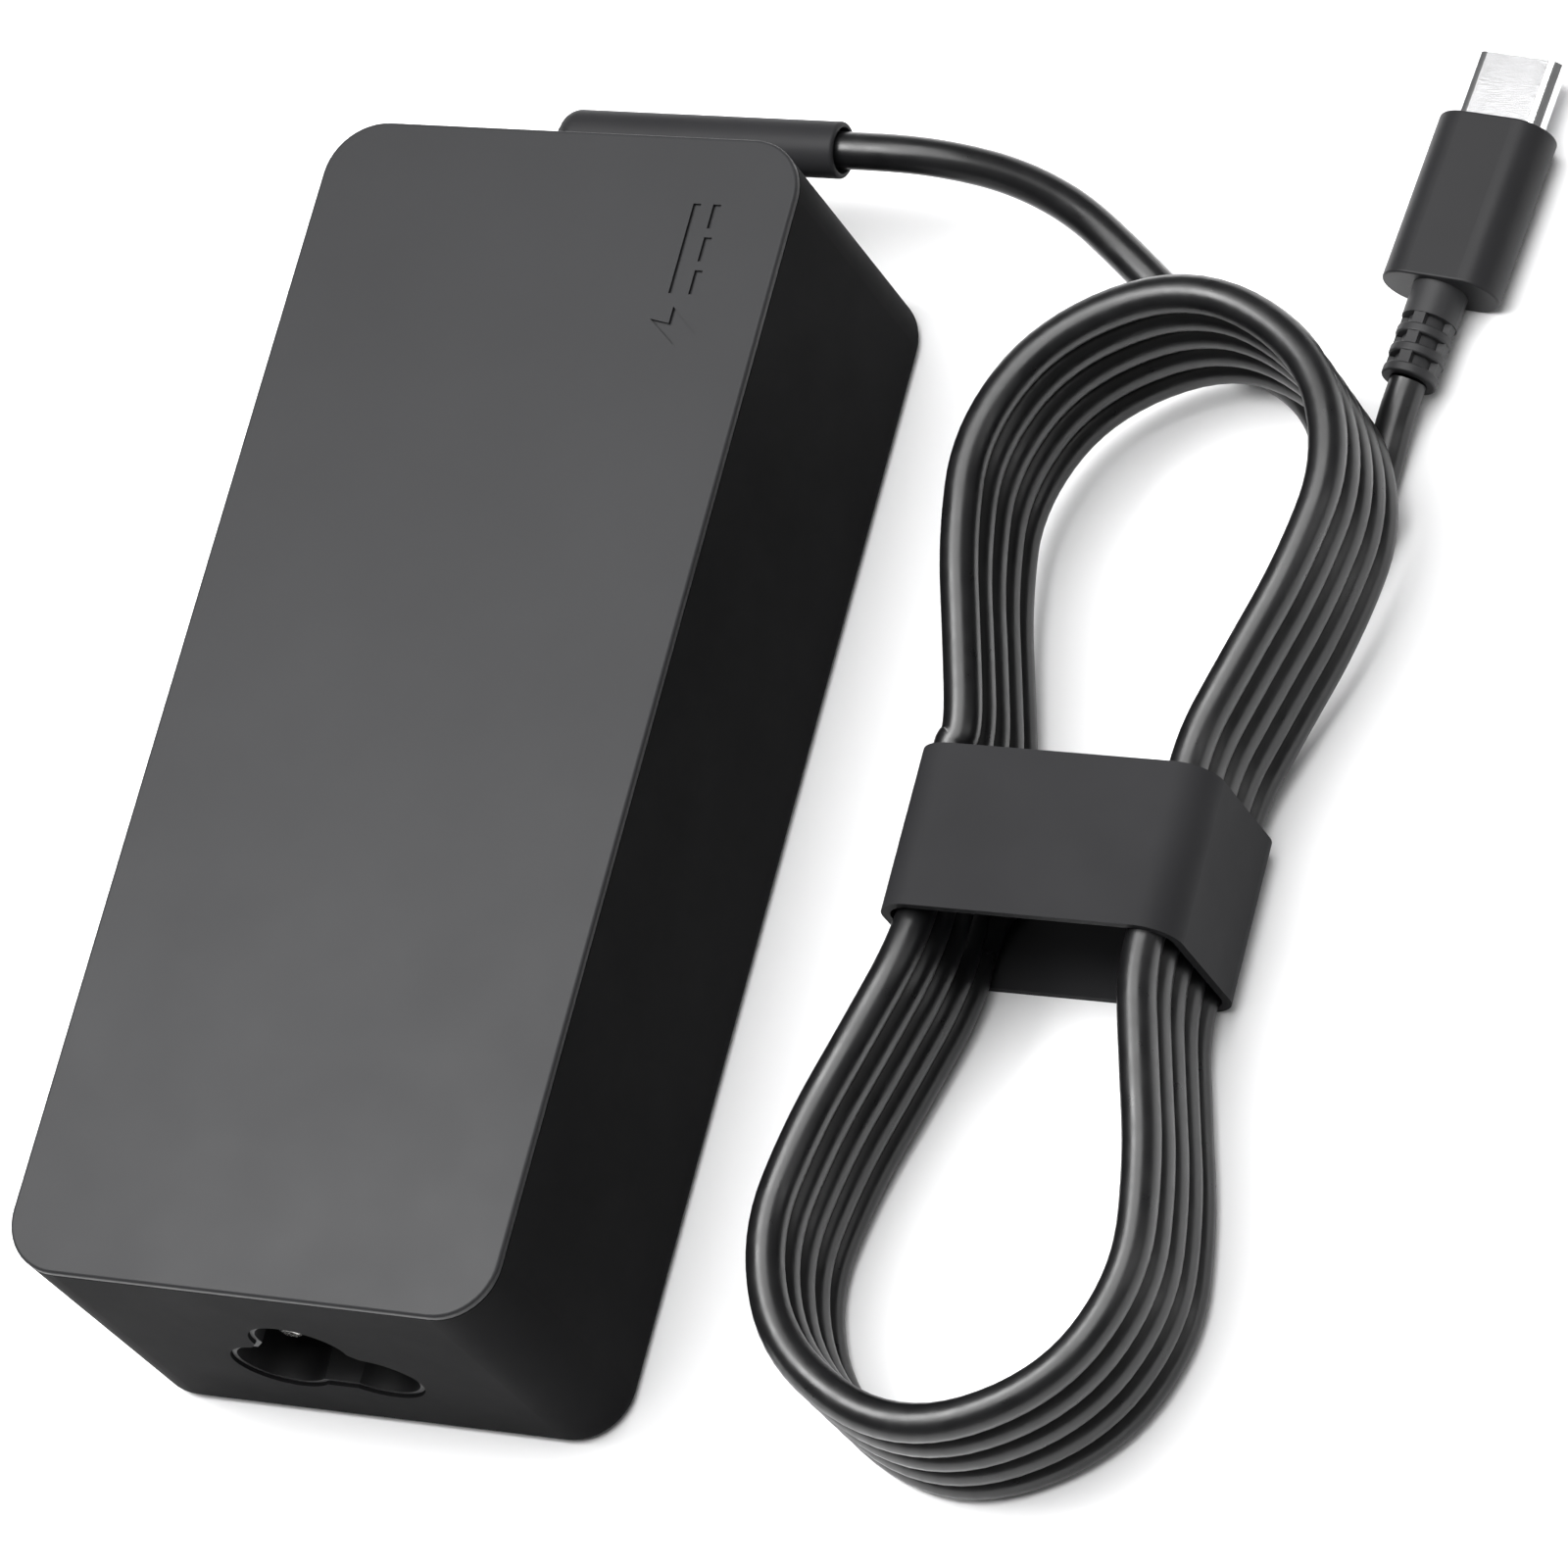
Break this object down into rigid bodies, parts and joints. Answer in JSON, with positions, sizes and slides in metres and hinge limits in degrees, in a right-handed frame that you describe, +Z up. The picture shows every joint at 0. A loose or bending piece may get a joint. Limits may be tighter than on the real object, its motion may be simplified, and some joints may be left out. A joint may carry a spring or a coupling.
{
  "type": "laptop power adapter",
  "caption": "Slim rectangular power adapter with a cloverleaf mains inlet and a thin output cord, wound into a strapped hank, that ends in a small oval connector.",
  "frame": {"origin": "centre of the brick's underside, on the surface it rests on", "axes": "+X from the brick towards the wound cord, +Y from the mains inlet end to the output boot end, +Z up"},
  "size_m": [0.1013, 0.1339, 0.0295],
  "materials": {
    "lid_plastic": "satin grey, fine spark texture",
    "case_plastic": "satin black, fine spark texture",
    "label_film": "plain dark film",
    "inlet_plastic": "semi-matt black",
    "plated_pins": "nickel plated",
    "copper_leads": "tinned copper",
    "circuit_board": "green solder mask",
    "clear_film": "translucent film",
    "spreader_metal": "plain rolled",
    "thermal_pad": "soft grey",
    "fuse_case": "moulded",
    "varistor_coating": "dipped coating",
    "thermistor_coating": "dipped coating",
    "film_capacitor_case": "moulded case",
    "disc_capacitor_coating": "dipped coating",
    "ferrite": "sintered, dull",
    "enamelled_copper": "enamelled",
    "moulding_compound": "moulded",
    "capacitor_sleeve": "shrink sleeve",
    "heatsink_aluminium": "milled",
    "bobbin_plastic": "moulded",
    "yellow_tape": "polyester tape",
    "can_aluminium": "bare can",
    "wire_jacket": "insulated",
    "boot_rubber": "matt moulded",
    "cord_jacket": "semi-gloss extruded jacket",
    "strap_plastic": "ribbed soft strap, matt",
    "plug_plastic": "satin moulded",
    "plug_steel": "drawn steel, nickel plated",
    "insert_plastic": "moulded",
    "gold_contacts": "gold plated",
    "relief_rubber": "matt moulded"
  },
  "bodies": {
    "root": {"top_cover": "lid_plastic", "bottom_case": "case_plastic", "rating_label": "label_film", "inlet_housing": "inlet_plastic", "inlet_pins": "plated_pins", "inlet_wires": "copper_leads", "main_board": "circuit_board", "output_board": "circuit_board", "control_board": "circuit_board", "insulation_sheet": "clear_film", "shield_plate": "spreader_metal", "thermal_pad": "thermal_pad", "fuse": "fuse_case", "varistor": "varistor_coating", "thermistor": "thermistor_coating", "x_capacitor": "film_capacitor_case", "y_capacitor": "disc_capacitor_coating", "choke_core": "ferrite", "choke_windings": "enamelled_copper", "bridge_rectifier": "moulding_compound", "bulk_capacitor": "capacitor_sleeve", "primary_transistor": "moulding_compound", "primary_heatsink": "heatsink_aluminium", "transformer_core": "ferrite", "transformer_bobbin": "bobbin_plastic", "transformer_windings": "enamelled_copper", "transformer_tape": "yellow_tape", "output_capacitors": "can_aluminium", "output_choke": "ferrite", "sync_rectifier": "moulding_compound", "secondary_heatsink": "heatsink_aluminium", "optocoupler": "moulding_compound", "controller_chip": "moulding_compound", "output_wires": "wire_jacket", "cord_boot": "boot_rubber", "cord_hank": "cord_jacket", "boot_cord": "cord_jacket", "plug_cord": "cord_jacket", "cord_strap": "strap_plastic", "plug_body": "plug_plastic", "plug_shell": "plug_steel", "plug_insert": "insert_plastic", "plug_contacts": "gold_contacts", "plug_board": "circuit_board", "plug_strain_relief": "relief_rubber"}
  },
  "joints": []
}
